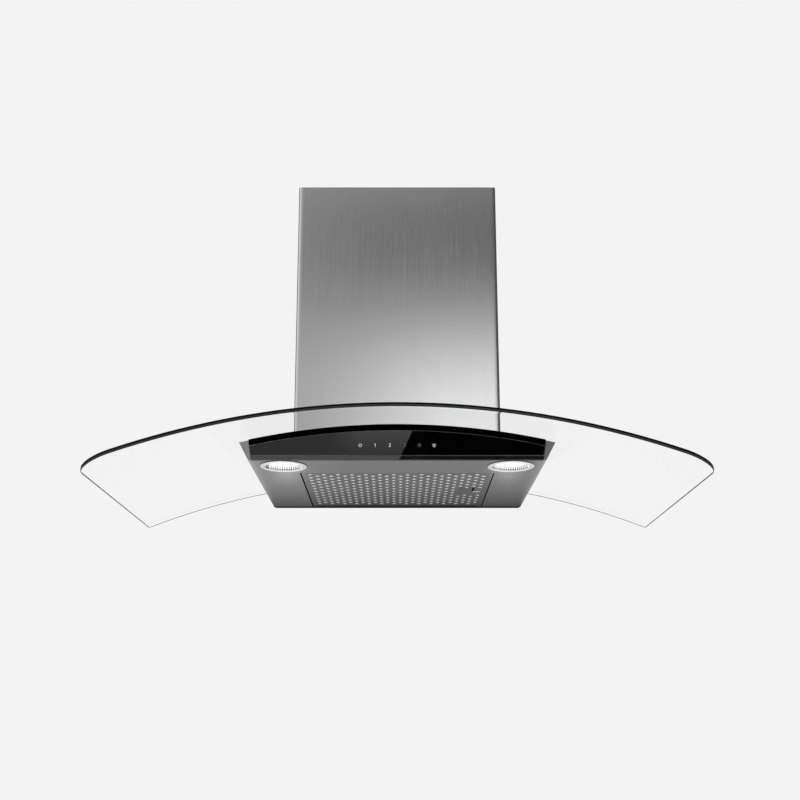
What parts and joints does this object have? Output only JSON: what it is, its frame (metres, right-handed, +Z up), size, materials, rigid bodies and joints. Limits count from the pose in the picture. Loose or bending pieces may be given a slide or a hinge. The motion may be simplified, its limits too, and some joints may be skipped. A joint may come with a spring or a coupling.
{
  "type": "wall range hood with curved glass canopy",
  "caption": "Wall-mounted range hood: bent clear glass canopy, tapered steel body with black touch fascia and lamps, perforated grease filter, straight telescopic steel chimney.",
  "frame": {"origin": "centre of the four wall bolts, on the wall plane at the back of the motor housing", "axes": "+Z up, +X to the right seen from the front, +Y into the wall, so the front faces -Y"},
  "size_m": [0.898, 0.501, 0.5462],
  "materials": {
    "brushed_steel": "fine brushed, satin",
    "filter_steel": "perforated, satin",
    "galvanised_steel": "galvanised, dull",
    "cast_aluminium": "cast, matt",
    "aluminium_mesh": "expanded mesh, matt",
    "clear_glass": "clear, polished edges",
    "black_glass": "back-painted black, gloss",
    "black_gloss": "gloss",
    "black_rubber": "matt",
    "black_plastic": "fine moulded",
    "grey_plastic": "fine moulded",
    "white_plastic": "moulded",
    "motor_grey": "satin",
    "magnet_grey": "sintered, matt",
    "board_green": "solder mask",
    "zinc_screw": "zinc plated",
    "lamp_chrome": "satin chrome",
    "lamp_glass": "clear",
    "lamp_mirror": "faceted mirror"
  },
  "bodies": {
    "root": {"body_shell": "brushed_steel", "support_frame": "galvanised_steel", "fascia_rail": "black_gloss", "fascia_panel": "black_glass", "fascia_seal": "black_rubber", "glass_canopy": "clear_glass", "glass_gasket": "black_rubber", "collar_gasket": "black_rubber", "clamp_frame": "cast_aluminium", "screw_bushes": "black_rubber", "clamp_screws": "zinc_screw", "clamp_nuts": "zinc_screw", "lamp_bezel_left": "lamp_chrome", "lamp_lens_left": "lamp_glass", "lamp_reflector_left": "lamp_mirror", "lamp_base_left": "cast_aluminium", "lamp_bezel_right": "lamp_chrome", "lamp_lens_right": "lamp_glass", "lamp_reflector_right": "lamp_mirror", "lamp_base_right": "cast_aluminium", "magnet_brackets": "galvanised_steel", "filter_magnets": "magnet_grey", "motor_housing": "galvanised_steel", "cover_lips": "galvanised_steel", "housing_cover": "galvanised_steel", "cover_screws": "zinc_screw", "scroll_left": "grey_plastic", "scroll_right": "grey_plastic", "motor": "motor_grey", "motor_bracket": "galvanised_steel", "outlet_duct": "grey_plastic", "outlet_spigot": "black_plastic", "damper_pin": "zinc_screw", "chimney_lower": "brushed_steel", "side_brackets": "galvanised_steel", "control_tray": "black_plastic", "control_board": "board_green", "led_driver": "white_plastic", "terminal_box": "white_plastic", "capacitor": "white_plastic", "cable_grommet": "black_rubber"},
    "upper_cover": {"chimney_upper": "brushed_steel", "ceiling_bracket": "galvanised_steel"},
    "grease_filter": {"filter_face": "filter_steel", "filter_pull": "filter_steel", "filter_mesh": "aluminium_mesh", "filter_back": "aluminium_mesh", "filter_tabs": "filter_steel"},
    "fan_wheel": {"impeller": "black_plastic", "fan_shaft": "zinc_screw"},
    "front_leaf": {"damper_front": "black_plastic"},
    "rear_leaf": {"damper_rear": "black_plastic"}
  },
  "joints": [
    {"name": "chimney_slide", "type": "slide", "parent": "root", "child": "upper_cover", "axis": [0, 0, 1], "range_m": [0, 0.3]},
    {"name": "filter_tilt", "type": "hinge", "parent": "root", "child": "grease_filter", "pos_m": [-0.152, -0.1475, -0.25], "axis": [0, 1, 0], "range_deg": [0, 75]},
    {"name": "fan_spin", "type": "hinge", "parent": "root", "child": "fan_wheel", "pos_m": [0, -0.112, -0.065], "axis": [1, 0, 0], "continuous": true},
    {"name": "front_leaf_swing", "type": "hinge", "parent": "root", "child": "front_leaf", "pos_m": [0, -0.085, 0.14], "axis": [-1, 0, 0], "range_deg": [0, 78]},
    {"name": "rear_leaf_swing", "type": "hinge", "parent": "root", "child": "rear_leaf", "pos_m": [0, -0.085, 0.14], "axis": [1, 0, 0], "range_deg": [0, 78]}
  ]
}
